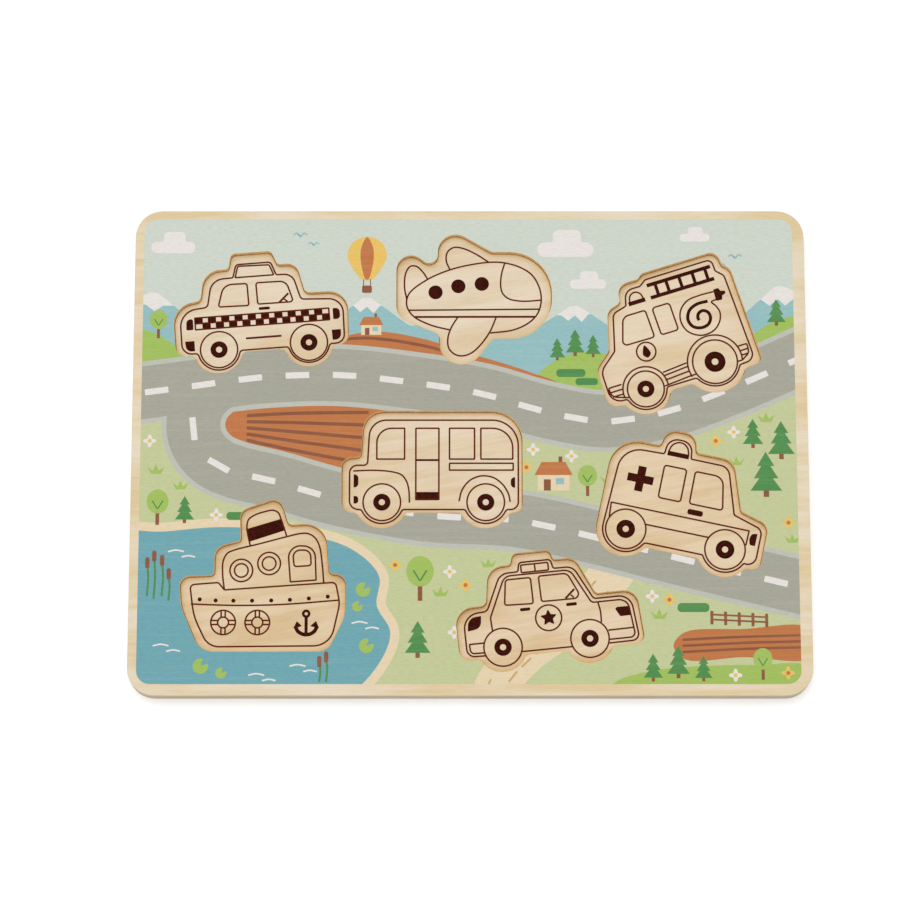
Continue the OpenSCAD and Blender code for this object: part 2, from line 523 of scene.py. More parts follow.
def dress(obj, *finishes, pick=None):
    """Gives a piece its finishes, chosen face by face where a pick is given."""
    obj.data.materials.clear()
    for material in finishes:
        obj.data.materials.append(material)
    for face in obj.data.polygons:
        face.material_index = pick(face) if pick else 0


# Finishes

def linear(colour):
    """A display colour as light values."""
    return [value / 12.92 if value <= 0.04045 else ((value + 0.055) / 1.055) ** 2.4 for value in colour]


# A mix node's sockets for two colours and for their mix, whose names its other sockets share
COLOUR_A, COLOUR_B, COLOUR_MIX = 6, 7, 2


class Finish:
    """A material under construction."""

    def __init__(self, name, roughness, gloss=0.15):
        self.material = bpy.data.materials.new(name)
        self.material.use_nodes = True
        self.tree = self.material.node_tree
        self.shader = self.tree.nodes["Principled BSDF"]
        self.shader.inputs["Roughness"].default_value = roughness
        self.shader.inputs["Specular IOR Level"].default_value = gloss
        self.coordinates = self.node("ShaderNodeTexCoord").outputs["Object"]

    def node(self, kind, **settings):
        node = self.tree.nodes.new(kind)
        for key, value in settings.items():
            setattr(node, key, value)
        return node

    def wire(self, source, socket):
        self.tree.links.new(source, socket)

    def noise(self, stretch, turn=0.0, detail=3.0):
        """Noise with a number of features per metre along each axis, turned about Z."""
        mapping = self.node("ShaderNodeMapping", vector_type="TEXTURE")
        mapping.inputs["Rotation"].default_value = (0, 0, math.radians(turn))
        mapping.inputs["Scale"].default_value = [1 / features for features in stretch]
        noise = self.node("ShaderNodeTexNoise")
        noise.inputs["Scale"].default_value = 1.0
        noise.inputs["Detail"].default_value = detail
        self.wire(self.coordinates, mapping.inputs["Vector"])
        self.wire(mapping.outputs["Vector"], noise.inputs["Vector"])
        return noise.outputs["Fac"]

    def ramp(self, source, *stops):
        """Colours along a value, from stops (place, colour)."""
        ramp = self.node("ShaderNodeValToRGB")
        while len(ramp.color_ramp.elements) < len(stops):
            ramp.color_ramp.elements.new(0.5)
        for element, (place, colour) in zip(ramp.color_ramp.elements, stops):
            element.position = place
            element.color = (*linear(colour), 1.0)
        self.wire(source, ramp.inputs["Fac"])
        return ramp.outputs["Color"]

    def weighed(self, a, b, share):
        """Two values mixed, with a share of the second."""
        mix = self.node("ShaderNodeMix", data_type="FLOAT")
        mix.inputs["Factor"].default_value = share
        self.wire(a, mix.inputs["A"])
        self.wire(b, mix.inputs["B"])
        return mix.outputs["Result"]

    def tinted(self, base, tone, share):
        """A colour multiplied by part of another."""
        mix = self.node("ShaderNodeMix", data_type="RGBA", blend_type="MULTIPLY")
        mix.inputs["Factor"].default_value = share
        self.wire(base, mix.inputs[COLOUR_A])
        self.wire(tone, mix.inputs[COLOUR_B])
        return mix.outputs[COLOUR_MIX]

    def bump(self, height, depth, strength=0.6):
        """Fine relief from a value, with its depth in metres."""
        bump = self.node("ShaderNodeBump")
        bump.inputs["Distance"].default_value = depth
        bump.inputs["Strength"].default_value = strength
        self.wire(height, bump.inputs["Height"])
        self.wire(bump.outputs["Normal"], self.shader.inputs["Normal"])

    def burn_shade(self):
        """How much laser browning and painted shade from the recess walls the rim gets, marked on the mesh
        by burn_shade_rim.
        """
        return self.node("ShaderNodeAttribute", attribute_name="burn_shade").outputs["Fac"]

    def done(self, colour):
        self.wire(colour, self.shader.inputs["Base Color"])
        return self.material


# Tints that a colour is multiplied by, in the pores of the wood and between them
PORE = (0.86, 0.85, 0.84)
WHITE = (1.0, 1.0, 1.0)


def blend(a, b, share):
    """A colour between two colours."""
    return [(1 - share) * x + share * y for x, y in zip(a, b)]


def wood_face(name, pale, dark, turn):
    """Planed basswood: broad tones, long soft streaks, fine pores, and a rim browned where it was cut, with
    painted shade from the recess walls added to that browning.
    """
    if name in bpy.data.materials:
        return bpy.data.materials[name]
    finish = Finish(name, roughness=0.62)
    broad = finish.noise((18, 80, 80), turn, detail=2)
    streaks = finish.noise((14, 330, 330), turn, detail=3)
    pores = finish.noise((150, 2600, 2600), turn, detail=2)
    tone = finish.weighed(broad, streaks, 0.35)
    face = finish.ramp(tone, (0.4, dark), (0.5, blend(dark, pale, 0.6)), (0.59, pale))
    flecks = finish.ramp(pores, (0.35, PORE), (0.5, WHITE))
    finish.bump(finish.weighed(streaks, pores, 0.6), 0.03 * MM)
    # The rim tint multiplies the face colour: laser browning and painted shade near the recess walls
    browned = finish.ramp(finish.burn_shade(), (0.0, WHITE), (1.0, colours().rim_burn_and_shade))
    return finish.done(finish.tinted(finish.tinted(face, flecks, 0.2), browned, 1.0))


def frame_face():
    return wood_face("frame_wood", colours().wood, colours().wood_dark, turn=0.0)


def piece_face(warmth):
    """The face of a vehicle piece, from 0 for pale wood to 1 for peach."""
    tint = colours()
    return wood_face(f"piece_wood_{round(100 * warmth)}", blend(tint.piece, tint.peach, warmth),
                     blend(tint.piece_dark, tint.peach_dark, warmth), turn=10.0)


def cut_edge():
    """The browned wall that a laser leaves, with upright streaks."""
    if "browned_cut" in bpy.data.materials:
        return bpy.data.materials["browned_cut"]
    finish = Finish("browned_cut", roughness=0.75)
    streaks = finish.noise((500, 500, 60), detail=2)
    finish.bump(streaks, 0.015 * MM)
    return finish.done(finish.ramp(streaks, (0.3, colours().cut_dark), (0.7, colours().cut_pale)))


# Height of a long-grain ply and a cross ply together
PLY_PAIR = 2.0 * MM


def ply_edge():
    """The sanded outer edge, where the plies of the boards show as bands."""
    if "ply_edge" in bpy.data.materials:
        return bpy.data.materials["ply_edge"]
    finish = Finish("ply_edge", roughness=0.7)
    height = finish.node("ShaderNodeSeparateXYZ")
    finish.wire(finish.coordinates, height.inputs["Vector"])
    plies = finish.node("ShaderNodeMath", operation="MULTIPLY")
    plies.inputs[1].default_value = 2 * math.pi / PLY_PAIR
    finish.wire(height.outputs["Z"], plies.inputs[0])
    wave = finish.node("ShaderNodeMath", operation="SINE")
    finish.wire(plies.outputs["Value"], wave.inputs[0])
    fibres = finish.noise((60, 60, 700), detail=4)
    tone = finish.weighed(wave.outputs["Value"], fibres, 0.72)
    finish.bump(fibres, 0.06 * MM)
    return finish.done(finish.ramp(tone, (0.1, colours().ply_dark), (0.45, colours().edge),
                                   (0.75, blend(colours().edge, colours().wood, 0.5))))


def ink(colour):
    """Dark brown drawing ink, a little uneven."""
    name = f"drawing_{colour}"
    if name in bpy.data.materials:
        return bpy.data.materials[name]
    tone = getattr(colours(), colour)
    finish = Finish(name, roughness=0.7, gloss=0.02)
    blots = finish.noise((700, 700, 700), detail=2)
    return finish.done(finish.ramp(blots, (0.35, tone), (0.75, blend(tone, colours().brown, 0.2))))


def print_ink(colour):
    """One printed colour, through which the wood's grain shows faintly."""
    name = f"print_{colour}"
    if name in bpy.data.materials:
        return bpy.data.materials[name]
    tone = getattr(colours(), colour)
    finish = Finish(name, roughness=0.55)
    streaks = finish.noise((20, 520, 520), detail=3)
    fibres = finish.noise((380, 1900, 1900), detail=2)
    face = finish.ramp(streaks, (0.36, blend(tone, colours().wood_dark, 0.06)), (0.5, tone),
                       (0.64, blend(tone, colours().wood, 0.08)))
    mottle = finish.ramp(fibres, (0.3, PORE), (0.62, WHITE))
    finish.bump(fibres, 0.02 * MM)
    return finish.done(finish.tinted(face, mottle, 0.3))


# Boards

# How far in from the board's box its outer edge lies at most, along a side and at a rounded corner
SIDE_REACH = 1.2 * MM
CORNER_REACH = 13 * MM
# How warm the back board's wood is, from 0 for pale to 1 for peach
BACK_WARMTH = 0.5


def is_outer(point):
    """Whether a point lies on the board's outer edge and not in a cut-out."""
    x, y = BOARD_HIGH.x - abs(point.x), BOARD_HIGH.y - abs(point.y)
    return min(x, y) < SIDE_REACH or max(x, y) < CORNER_REACH


def wall_pick(face):
    """0 for a flat face, 1 for a wall of a cut-out and 2 for the outer edge."""
    if is_flat(face):
        return 0
    return 2 if is_outer(face.center) else 1


class PUZZLE_OT_boards(bpy.types.Operator):
    """Model the frame board and the back board that closes its cut-outs"""

    bl_idname = "puzzle.boards"
    bl_label = "Boards"

    def execute(self, context):
        upper = cad_copy("frame_board")
        lower_top(upper, sizes().print_room)
        round_rims(upper, sizes().edge_round)
        dress(upper, frame_face(), cut_edge(), ply_edge(), pick=wall_pick)
        settle(upper, "frame_panel", "board", "printed_frame", "frame_board")
        lower = cad_copy("back_board")
        lower_top(lower, sizes().line_t)
        round_rims(lower, sizes().edge_round)
        dress(lower, piece_face(BACK_WARMTH), cut_edge(), ply_edge(), pick=wall_pick)
        settle(lower, "back_panel", "board", "back_ply", "back_board")
        return {"FINISHED"}


# Printed landscape

UPPER_ROAD = [(-175, 22), (-130, 28), (-92, 33), (-58, 34), (-25, 30.5), (5, 25.5), (35, 17), (60, 13),
              (86, 17), (115, 27.5), (150, 43), (180, 57)]
LOWER_ROAD = [(-84, 35.5), (-94, 35), (-104, 33.2), (-113.6, 28.6), (-120.4, 21), (-122.8, 11.5),
              (-120.4, 2), (-113.6, -5.6), (-104, -10), (-85, -14.8), (-60, -22), (-20, -29.5),
              (20, -32), (55, -39.5), (90, -48.5), (125, -57), (175, -69)]
LANE = [(72, -36), (62, -56), (44, -76), (24, -91), (12, -105), (6, -125)]
LAKE = [(-170, -40), (-135, -37), (-108, -35), (-75, -38), (-52, -45), (-40, -57), (-41, -70), (-35, -82),
        (-40, -96), (-58, -115), (-80, -130), (-175, -130)]
FIELDS = [
    [(-120, 24), (-126, 10), (-120, -4), (-106, -10), (-85, -16), (-60, -23), (-40, -26), (-40, 28),
     (-92, 33)],
    [(-62, 34), (-60, 49), (-44, 54), (-22, 51), (0, 44), (25, 36), (42, 28), (42, 15), (-62, 25)],
    [(89, -88), (94, -82), (120, -80.5), (148, -79.5), (154, -87), (148, -94), (120, -93), (94, -94)],
]
HILLS = [
    [(24, 15), (30, 34), (46, 44), (64, 43), (84, 36), (84, 10), (40, 5)],
    [(115, 30), (126, 52), (140, 60), (165, 62), (165, 40)],
    [(-165, 20), (-165, 52), (-146, 55), (-132, 48), (-120, 36), (-130, 20)],
    [(52, -122), (62, -105), (80, -99), (100, -97), (125, -96.5), (150, -97.5), (165, -122)],
]
MEADOW = [(-170, -125), (170, -125), (170, 52), (115, 28), (60, 14), (5, 26), (-58, 35), (-130, 28),
          (-170, 26)]
MOUNTAINS = [(-170, 20), (-170, 60, 3), (-141, 73, 5), (-120, 56, 4), (-95, 70, 5), (-66, 55, 4),
             (-46, 71, 5), (-26, 56, 4), (-4, 68, 5), (24, 52, 4), (47, 67, 5), (66, 54, 4), (92, 70, 5),
             (118, 58, 4), (138, 76, 5), (170, 62, 3), (170, 20)]
SNOW = [(-160, 90), (-160, 66), (-145, 66.5), (-141, 63.5), (-137, 66), (-120, 66), (-52, 66), (-49, 63),
        (-46, 65.5), (-43, 62.5), (-40, 66), (41, 61.5), (44, 59), (47, 61.5), (50, 58.5), (53, 62),
        (100, 68), (130, 69), (134, 66), (138, 69), (141, 66), (146, 70), (170, 72), (170, 90)]


def print_outline():
    """The printed area's outline."""
    size = sizes()
    sheet = box(size.print_w / MM, size.print_d / MM, size.print_r / MM)
    return placed(sheet, size.print_x / MM, size.print_y / MM)


def stencil(low, high):
    """A plate of the printed area, with the cut-outs left out."""
    obj = copy_of(bpy.data.objects["frame_panel"])
    top = top_height(obj.data)
    select_parts(obj.data, "FACE", top_faces(obj.data))
    with editing(obj, everything=False):
        bpy.ops.mesh.select_all(action="INVERT")
        bpy.ops.mesh.delete(type="FACE")
        bpy.ops.mesh.select_all(action="SELECT")
        bpy.ops.transform.translate(value=(0, 0, low - top))
        thicken(high - low)
    obj.data.materials.clear()
    edge = plate(print_outline(), low - MM, high + MM)
    cut(obj, edge, "INTERSECT")
    bpy.data.objects.remove(edge)
    return obj


def split_off(sheet, outlines):
    """The parts of a printed sheet inside some outlines, taken out of the sheet."""
    parts = []
    for outline in outlines:
        tool = plate(outline, FACE_Z - MM, FACE_Z + MM)
        part = copy_of(sheet)
        cut(part, tool, "INTERSECT")
        cut(sheet, tool, "DIFFERENCE")
        bpy.data.objects.remove(tool)
        parts.append(part)
    return joined(parts)


def settle_print(obj, name):
    settle(obj, name, "board", "printed_frame")


class PUZZLE_OT_land(bpy.types.Operator):
    """Print the areas of the landscape, each cut out of what lies behind it"""

    bl_idname = "puzzle.land"
    bl_label = "Printed land"

    def execute(self, context):
        size = sizes()
        low = FACE_Z - size.print_room
        sheet = stencil(low, low + size.print_t)
        road_w = size.road_w / MM
        kerb_w = (size.road_w + 2 * size.kerb_w) / MM
        lake = smooth(LAKE, closed=True)
        shore = beside(lake, size.shore_w / MM, closed=True)
        areas = [
            ("print_roads", "road", [band(UPPER_ROAD, road_w), band(LOWER_ROAD, road_w)]),
            ("print_kerbs", "kerb", [band(UPPER_ROAD, kerb_w), band(LOWER_ROAD, kerb_w)]),
            ("print_lake", "lake", [lake]),
            ("print_sand", "sand", [shore, band(LANE, size.lane_w / MM)]),
            ("print_fields", "terracotta", [smooth(field, closed=True) for field in FIELDS]),
            ("print_hills", "leaf", [smooth(hill, closed=True) for hill in HILLS]),
            ("print_meadow", "meadow", [rounded(MEADOW)]),
            ("print_mountains", "mountain", [rounded(MOUNTAINS)]),
        ]
        for name, colour, outlines in areas:
            part = split_off(sheet, outlines)
            if name == "print_mountains":
                snow = split_off(part, [rounded(SNOW)])
                dress(snow, print_ink("white"))
                settle_print(snow, "print_snow")
            dress(part, print_ink(colour))
            settle_print(part, name)
        dress(sheet, print_ink("sky"))
        settle_print(sheet, "print_sky")
        return {"FINISHED"}


# Thickness of a motif, as a share of the rise to the next level
MOTIF_SHARE = 0.9


class Motifs:
    """Printed shapes that lie on the landscape, each with a colour and a level."""

    def __init__(self):
        self.shapes = []

    def add(self, colour, outline, level=0):
        self.shapes.append((colour, outline, level))

    def fir(self, x, y, height):
        right = [(0, 1), (0.19, 0.68), (0.1, 0.68), (0.27, 0.4), (0.15, 0.4), (0.35, 0.12)]
        self.add("brown", placed(box(0.12, 0.2), x, y + 0.08 * height, 0, height))
        self.add("fir", placed(both_sides(right), x, y, 0, height), 1)

    def round_tree(self, x, y, height):
        turns = [math.radians(angle) for angle in range(0, 360, 12)]
        crown = [(0.3 * math.cos(turn), 0.66 + 0.34 * math.sin(turn)) for turn in turns]
        self.add("brown", placed(box(0.1, 0.44), x, y + 0.22 * height, 0, height))
        self.add("leaf", placed(crown, x, y, 0, height), 1)
        twigs = [(-0.15, 0.68), (-0.07, 0.56), (0, 0.46), (0.07, 0.56), (0.15, 0.68)]
        self.add("fir", placed(band(twigs, 0.035), x, y, 0, height), 2)

    def house(self, x, y, width):
        roof = [(-0.6, 0.5), (0.6, 0.5), (0.38, 0.92), (-0.38, 0.92)]
        self.add("brown", placed(box(0.12, 0.3), x + 0.22 * width, y + 0.95 * width, 0, width))
        self.add("sand", placed(box(1.0, 0.6), x, y + 0.3 * width, 0, width))
        self.add("terracotta", placed(roof, x, y, 0, width), 1)
        self.add("brown", placed(box(0.22, 0.36), x - 0.2 * width, y + 0.18 * width, 0, width), 1)
        self.add("mountain", placed(box(0.26, 0.2), x + 0.2 * width, y + 0.3 * width, 0, width), 1)

    def hedge(self, x, y, width, height):
        self.add("fir", placed(box(width, height, 0.45 * height), x, y))

    def blossom(self, x, y, colour):
        petals = [polar((x, y), 2.2 + 0.75 * math.cos(math.radians(4 * angle)), angle)
                  for angle in range(0, 360, 9)]
        self.add(colour, petals)
        self.add("yellow" if colour != "yellow" else "terracotta", circle((x, y), 0.9), 1)

    def tuft(self, x, y, height):
        blades = both_sides([(0, 1), (0.28, 0.3), (0.85, 0.75), (0.5, 0)])
        self.add("leaf", placed(blades, x, y, 0, height))

    def make_piece(self, name):
        """Makes the shapes one piece, trimmed to the printed area."""
        size = sizes()
        base = FACE_Z - size.print_room + size.print_t
        plates = []
        for colour, outline, level in self.shapes:
            low = base + level * size.motif_step
            shape = plate(outline, low, low + MOTIF_SHARE * size.motif_step)
            dress(shape, print_ink(colour))
            plates.append(shape)
        obj = joined(plates)
        trim = stencil(base - MM, base + MM)
        cut(obj, trim, "INTERSECT")
        bpy.data.objects.remove(trim)
        settle_print(obj, name)


class PrintOperator:
    """Shared by the operators that print one group of motifs."""

    piece = ""

    def execute(self, context):
        motifs = Motifs()
        self.lay_out(motifs)
        motifs.make_piece(self.piece)
        return {"FINISHED"}


class PUZZLE_OT_dashes(PrintOperator, bpy.types.Operator):
    """Print the dashes along the middle of the roads"""

    bl_idname = "puzzle.dashes"
    bl_label = "Road dashes"
    piece = "print_dashes"
    # Each road, with how far along it the first dash lies, and the way from dash to dash
    first_dashes = ((UPPER_ROAD, 36), (LOWER_ROAD, 53))
    dash_gap = 21
    dash_length, dash_width, dash_corner = 10.5, 2.8, 0.3

    def lay_out(self, motifs):
        dash = box(self.dash_length, self.dash_width, self.dash_corner)
        for road, first in self.first_dashes:
            for place, heading in stations(road, first, self.dash_gap):
                motifs.add("white", placed(dash, place.x, place.y, heading))


class PUZZLE_OT_furrows(PrintOperator, bpy.types.Operator):
    """Print the furrows of the ploughed fields and the ruts of the lane"""

    bl_idname = "puzzle.furrows"
    bl_label = "Furrows"
    piece = "print_furrows"
    # How far along the lane the first rut lies, the way from rut to rut, and from the lane's middle
    first_rut, rut_gap, rut_side = 32, 9, 3.6
    rut_length, rut_width, rut_corner = 6, 0.9, 0.4

    def lay_out(self, motifs):
        for i in range(5):
            row = [(-99, 15.5 - 2.8 * i), (-78, 16.5 - 4.2 * i), (-45, 17 - 5.9 * i)]
            motifs.add("brown", band(row, 1.5))
        motifs.add("brown", band([(-58, 50.5), (-44, 51), (-22, 47.8), (-6, 43.6)], 1.4))
        for i in range(3):
            row = [(93, -85.3 - 2.7 * i), (119, -84 - 2.7 * i), (148, -83.2 - 2.7 * i)]
            motifs.add("brown", band(row, 1.1))
        rut = box(self.rut_length, self.rut_width, self.rut_corner)
        for place, heading in stations(LANE, self.first_rut, self.rut_gap):
            for side in (-self.rut_side, self.rut_side):
                motifs.add("ochre", placed(placed(rut, 0, side), place.x, place.y, heading))


class PUZZLE_OT_trees(PrintOperator, bpy.types.Operator):
    """Print the fir trees, round trees and hedges"""

    bl_idname = "puzzle.trees"
    bl_label = "Trees and hedges"
    piece = "print_trees"
    firs = [(131, -21, 20), (138, -4, 17), (125.5, 1, 13), (-23, -93, 16), (-126, -33, 12), (39, 41, 10),
            (47, 43, 12), (55, 42.5, 10), (137, 57, 12), (80, -103.5, 12), (91, -102, 14), (102, -103.5, 11)]
    round_trees = [(-22, -68, 20), (-138, -34, 16), (52, -21, 14), (-139, 51, 13), (128, -103, 14)]
    hedges = [(45, 35, 13, 3.6), (52, 31, 10, 3.2), (98, -71, 14, 4), (-100, -30, 15, 3.6)]

    def lay_out(self, motifs):
        for fir in self.firs:
            motifs.fir(*fir)
        for tree in self.round_trees:
            motifs.round_tree(*tree)
        for hedge in self.hedges:
            motifs.hedge(*hedge)


class PUZZLE_OT_houses(PrintOperator, bpy.types.Operator):
    """Print the houses"""

    bl_idname = "puzzle.houses"
    bl_label = "Houses"
    piece = "print_houses"
    houses = [(37, -18.5, 14), (-44, 52.5, 9)]

    def lay_out(self, motifs):
        for house in self.houses:
            motifs.house(*house)


class PUZZLE_OT_air(PrintOperator, bpy.types.Operator):
    """Print the balloon, the birds and the clouds"""

    bl_idname = "puzzle.air"
    bl_label = "Balloon, birds and clouds"
    piece = "print_air"
    cloud = [(-9, -2.4, 2.3), (9, -2.4, 2.3), (9, 2.4, 2.3), (5, 2.4, 0.8), (5, 6.6, 2), (-4, 6.6, 2),
             (-4, 2.4, 0.8), (-9, 2.4, 2.3)]
    clouds = [(43, 92, 1.4), (53, 76, 0.9), (101, 97.6, 0.75), (-133, 93, 1.1)]
    birds = [(-76, 98, 3), (-70, 94, 2.4), (112, 84, 2.6), (119, 88, 3)]
    balloon = (-46, 89)

    def lay_out(self, motifs):
        for x, y, size in self.clouds:
            motifs.add("white", placed(rounded(self.cloud), x, y, 0, size))
        for x, y, size in self.birds:
            wings = [(-1, 0.3), (-0.5, 0.55), (0, 0), (0.5, 0.55), (1, 0.3)]
            motifs.add("mountain", placed(band(wings, 0.24), x, y, 0, size))
        x, y = self.balloon
        bag = both_sides([(0, 9), (6.4, 6.4), (8.8, 0.5), (6.6, -5.6), (1.8, -11)])
        gore = both_sides([(0, 8.8), (2.6, 4), (3, 0), (2.2, -6), (0.6, -10.8)])
        motifs.add("yellow", placed(smooth(bag, closed=True), x, y))
        motifs.add("terracotta", placed(smooth(gore, closed=True), x, y), 1)
        for side in (-1, 1):
            motifs.add("brown", placed(band([(side * 1.5, -10.8), (side * 1.6, -14)], 0.4), x, y), 2)
        motifs.add("brown", placed(box(4.4, 3.4, 0.8), x, y - 15.4))


class PUZZLE_OT_lakeside(PrintOperator, bpy.types.Operator):
    """Print the reeds, lily pads and ripples of the lake"""

    bl_idname = "puzzle.lakeside"
    bl_label = "Lakeside"
    piece = "print_lakeside"
    reeds = [(-142, -66, 15), (-139, -67, 19), (-135.5, -66, 16), (-132.5, -68, 12), (-66, -104, 9),
             (-63, -104, 11)]
    pads = [(-47, -63, 3.2), (-49.5, -70.5, 2.3), (-45.5, -88, 3.2), (-118, -97, 3.4), (-109, -100, 2.4)]
    ripples = [(-74, -97), (-92, -101), (-134, -88), (-47, -78), (-128, -46)]

    def lay_out(self, motifs):
        for x, y, height in self.reeds:
            motifs.add("fir", band([(x, y), (x + 0.5, y + height / 2), (x, y + height)], 0.9))
            motifs.add("brown", placed(box(1.9, 5, 0.9), x, y + height), 1)
        for x, y, size in self.pads:
            motifs.add("leaf", placed([(0, 0)] + arc((0, 0), 1, 70, 310), x, y, 0, size))
        for x, y in self.ripples:
            motifs.add("white", band([(x - 5, y), (x - 1.5, y + 0.7), (x + 2, y)], 0.7))
            motifs.add("white", band([(x + 1, y - 2.4), (x + 4, y - 1.8), (x + 7, y - 2.4)], 0.7))


class PUZZLE_OT_garden(PrintOperator, bpy.types.Operator):
    """Print the fence, the blossoms and the tufts of grass"""

    bl_idname = "puzzle.garden"
    bl_label = "Fence, blossoms and grass"
    piece = "print_garden"
    posts = [(106, -75.5), (112, -75.8), (118, -76.1), (124, -76.4), (130, -76.7)]
    blossoms = [(-9, -55, "white"), (-2, -61, "yellow"), (-33, -52, "yellow"), (-7, -82, "white"),
                (25, -8, "yellow"), (28, 0, "white"), (117, 8, "white"), (109, 4, "yellow"),
                (80, -66, "white"), (87.5, -67.5, "yellow"), (116, -101, "white"), (139, -100, "yellow"),
                (-112, -29.5, "white"), (45, -3, "white"), (-142, 4, "white"), (140.5, -33, "yellow")]
    tufts = [(-13, -66, 4.5), (8, -53, 4), (83, -76, 4.5), (131.5, 12.5, 4.5), (118, -7, 4),
             (-139, -11, 4.5), (-128, -18, 4), (142, -42, 4), (61, -15, 4)]

    def lay_out(self, motifs):
        for x, y in self.posts:
            motifs.add("brown", placed(box(1.3, 6, 0.3), x, y), 1)
        for rise in (-0.8, 1.4):
            motifs.add("brown", band([(x, y + rise) for x, y in self.posts], 0.8))
        for blossom in self.blossoms:
            motifs.blossom(*blossom)
        for tuft in self.tufts:
            motifs.tuft(*tuft)


# Vehicle drawings, in millimetres about each vehicle's middle

class Pen:
    """Collects the marks of one drawing. A filled shape has no width, a line has one in line widths."""

    def __init__(self):
        self.marks = []

    def fill(self, points):
        self.marks.append((points, True, None))

    def stroke(self, points, closed=False, width=1.0):
        self.marks.append((points, closed, width))

    def line(self, *corners, closed=False, width=1.0):
        self.stroke(rounded(corners, closed), closed, width)

    def frame(self, *corners):
        self.line(*corners, closed=True)

    def sweep(self, *points, width=1.0):
        self.stroke(smooth(points), False, width)

    def ring(self, middle, radius, width=1.0):
        self.stroke(circle(middle, radius), True, width)

    def block(self, *corners):
        self.fill(rounded(corners))

    def bar(self, x0, y0, x1, y1, radius=0.0):
        self.fill(placed(box(x1 - x0, y1 - y0, radius), (x0 + x1) / 2, (y0 + y1) / 2))

    def window(self, x0, y0, x1, y1, radius=0.2):
        self.stroke(placed(box(x1 - x0, y1 - y0, radius), (x0 + x1) / 2, (y0 + y1) / 2), True)

    def dot(self, middle, radius):
        self.fill(circle(middle, radius))

    def wheel(self, middle, radius, hub=2.6, hub_width=3.4):
        self.ring(middle, radius)
        self.ring(middle, hub, hub_width)


def draw_taxi(pen):
    wheels = [(-19.7, -18), (20.5, -17.8)]
    pen.stroke(car_body([
        (-36.1, -19.1, 4.5), (*wheels[0], 9.4, 1.6), (*wheels[1], 9.2, 1.6), (36.4, -19.1, 4),
        (36.9, 1.2, 6.5), (18.3, 2.4, 2), (15.2, 14.4, 5), (8, 14.5, 1), (5.9, 20.6, 1.8),
        (-9.7, 20.6, 1.8), (-11.4, 14.6, 1), (-21, 14.4, 6.5), (-23.6, 1.8, 2.2), (-36.1, 0.8, 8),
    ], -19.1), True)
    pen.frame((-10.4, 14.6, 0.3), (6.9, 14.6, 0.3), (5.2, 19.4, 1), (-8.9, 19.8, 1))
    pen.frame((-18.8, 1.6, 0.9), (-5.1, 1.3, 0.9), (-5.3, 11.5, 1.1), (-15.8, 11.7, 5))
    pen.frame((-1.1, 1.6, 0.9), (14.9, 1.5, 1.2), (12.2, 11.3, 4), (-1.3, 11.5, 1))
    pen.line((8.6, 1.7), (12.9, 5.6), width=1.3)
    pen.line((10.4, 3.3), (12.3, 1.8))
    pen.bar(-0.8, -1.2, 4.2, 0.1, 0.6)
    left, right, pitch = -29.8, 30.6, 5.95
    for y in (-2.7, -5.35, -8.1):
        pen.line((left, y), (right, y))
    for i in range(10):
        x = left + pitch * i
        pen.bar(x, -5.35, x + 3.7, -2.6)
        pen.bar(x + 3.4, -8.2, min(x + 7.1, right), -5.35)
    pen.line((-29.6, -2.7), (-29.6, -8.1))
    pen.line((30.4, -2.7), (30.4, -8.1))
    pen.block((-33.7, -8.1, 0.7), (-30.5, -8.1, 0.7), (-30.5, -3.1, 0.8), (-33.4, -3.1, 1.8))
    pen.block((-34.2, -17.9, 2.6), (-30.4, -17.9, 0.2), (-30.4, -13.2, 0.2), (-34.6, -13.2, 0.2))
    pen.block((32.1, -8, 0.4), (35.2, -8, 1.6), (35.2, -2.9, 1.8), (32.1, -2.9, 0.4))
    pen.block((31.2, -17.5, 0.2), (35, -17.4, 2.6), (35.1, -12.8, 0.2), (31, -12.8, 0.2))
    pen.line((-7.4, -13.8), (8.5, -13.8), width=1.3)
    for wheel in wheels:
        pen.wheel(wheel, 8.3)


def draw_aeroplane(pen):
    pen.sweep((-9.8, -15), (-18, -12.9), (-25.5, -9.2), (-28.3, -6), (-29.3, -2.5), (-28, 2), (-20, 8.3),
              (-10, 12.8), (0, 15.3), (9, 16.4), (15, 16), (22, 13.8), (27, 10.3), (30, 5), (31, -0.5),
              (30.2, -5.5), (28, -9.3), (24, -12.6), (18, -15.1), (8.2, -16.4))
    pen.sweep((-29.2, -0.8), (-30.2, 5), (-29.6, 11.5), (-27.5, 14.5), (-24.8, 14.4), (-22, 11.8),
              (-19.8, 8.4))
    pen.sweep((-9.8, 12.8), (-11.5, 17), (-11, 21), (-8.2, 23.2), (-4, 22.8), (2, 20), (7.6, 16.3))
    pen.sweep((-6.4, -9.2), (-9.3, -14), (-10.8, -19), (-10.3, -23.5), (-7.5, -26.3), (-4, -26.9),
              (0, -25.4), (4, -21.6), (8, -15.8), (10.8, -9.2))
    for window in ((-16.3, 2.4), (-6.1, 5.2), (4.4, 6.3)):
        pen.dot(window, 3.2)
    pen.line((-28.6, -5.9), (30.1, -5.4))
    pen.line((-25.6, -9), (28.1, -8.9), width=1.3)
    pen.sweep((14.7, 16), (13.2, 10.5), (12.9, 5), (13.8, 1.8), (16.5, -0.6), (21, -1.6), (25, -1.7),
              (31, -1.2))


